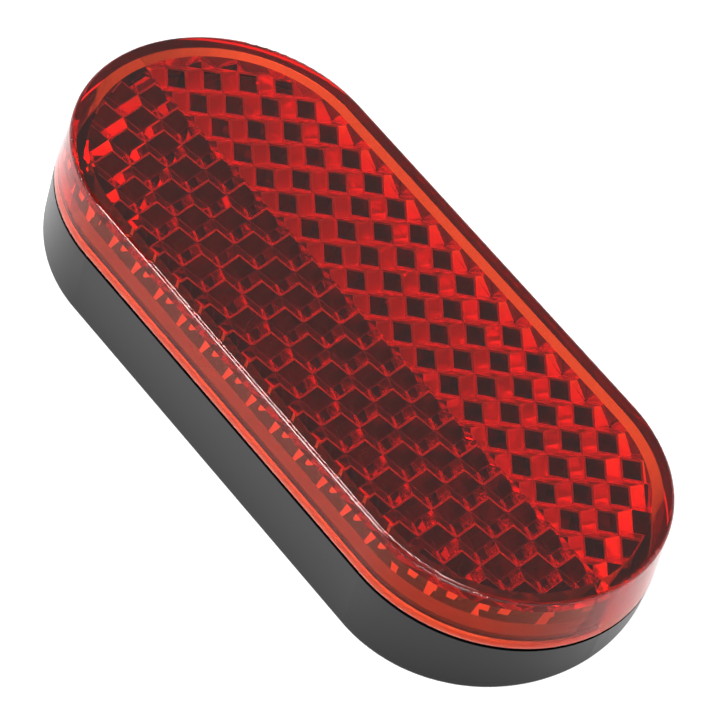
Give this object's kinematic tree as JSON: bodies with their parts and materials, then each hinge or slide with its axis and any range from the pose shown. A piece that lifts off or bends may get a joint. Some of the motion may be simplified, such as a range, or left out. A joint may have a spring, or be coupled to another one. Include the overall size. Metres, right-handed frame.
{
  "type": "seat post reflector",
  "caption": "Pill-shaped red bicycle reflector: a clear red lens with moulded corner-cube prisms on a black wedge base, with a threaded insert in its flat back.",
  "frame": {"origin": "centre of the flat back face", "axes": "+X along the lens's long axis, +Z out of the back towards the lens, +Y towards the thin side of the wedge"},
  "size_m": [0.065, 0.0293, 0.0121],
  "materials": {
    "red_lens": "clear red acrylic, polished outside",
    "black_plastic": "fine satin moulded black plastic",
    "brass": "turned brass"
  },
  "bodies": {
    "root": {"lens": "red_lens", "base": "black_plastic", "threaded_insert": "brass"}
  },
  "joints": []
}
